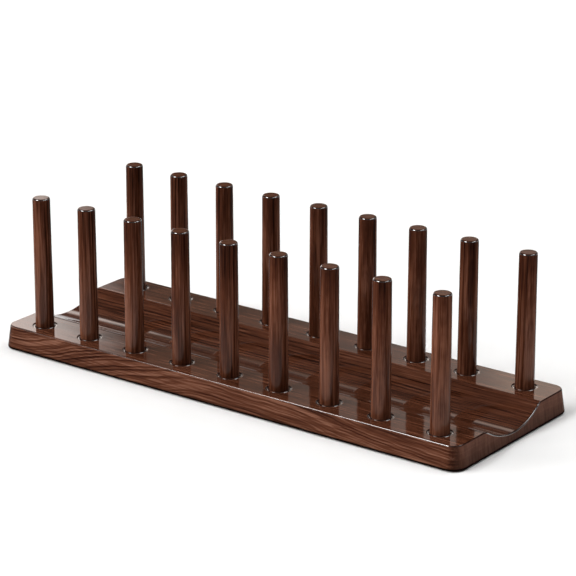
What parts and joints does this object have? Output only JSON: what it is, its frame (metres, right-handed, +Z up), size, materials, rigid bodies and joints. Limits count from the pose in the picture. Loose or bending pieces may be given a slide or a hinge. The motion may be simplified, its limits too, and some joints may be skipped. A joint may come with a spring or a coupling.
{
  "type": "vertical dish rack",
  "caption": "Free-standing wooden dish rack: a long glossy board with a scooped trough between two rows of tapered upright dowels that hold plates on edge.",
  "frame": {"origin": "on the table surface, under the middle of the board, at the pads' undersides", "axes": "+X along the board towards the end with the wider slot, +Y from the front row of dowels to the back row, +Z up along the dowels"},
  "size_m": [0.467, 0.1654, 0.135],
  "materials": {
    "board_wood": "dark reddish-brown walnut grain under a high-gloss clear lacquer",
    "dowel_wood": "dark reddish-brown walnut, grain along the dowel, gloss clear lacquer",
    "screw_steel": "zinc-plated steel",
    "pad_rubber": "matt black anti-slip rubber"
  },
  "bodies": {
    "root": {"base_board": "board_wood", "dowel_front_1": "dowel_wood", "dowel_front_2": "dowel_wood", "dowel_front_3": "dowel_wood", "dowel_front_4": "dowel_wood", "dowel_front_5": "dowel_wood", "dowel_front_6": "dowel_wood", "dowel_front_7": "dowel_wood", "dowel_front_8": "dowel_wood", "dowel_front_9": "dowel_wood", "dowel_back_1": "dowel_wood", "dowel_back_2": "dowel_wood", "dowel_back_3": "dowel_wood", "dowel_back_4": "dowel_wood", "dowel_back_5": "dowel_wood", "dowel_back_6": "dowel_wood", "dowel_back_7": "dowel_wood", "dowel_back_8": "dowel_wood", "dowel_back_9": "dowel_wood", "dowel_screws": "screw_steel", "foot_pad_front_left": "pad_rubber", "foot_pad_front_right": "pad_rubber", "foot_pad_back_left": "pad_rubber", "foot_pad_back_right": "pad_rubber"}
  },
  "joints": []
}
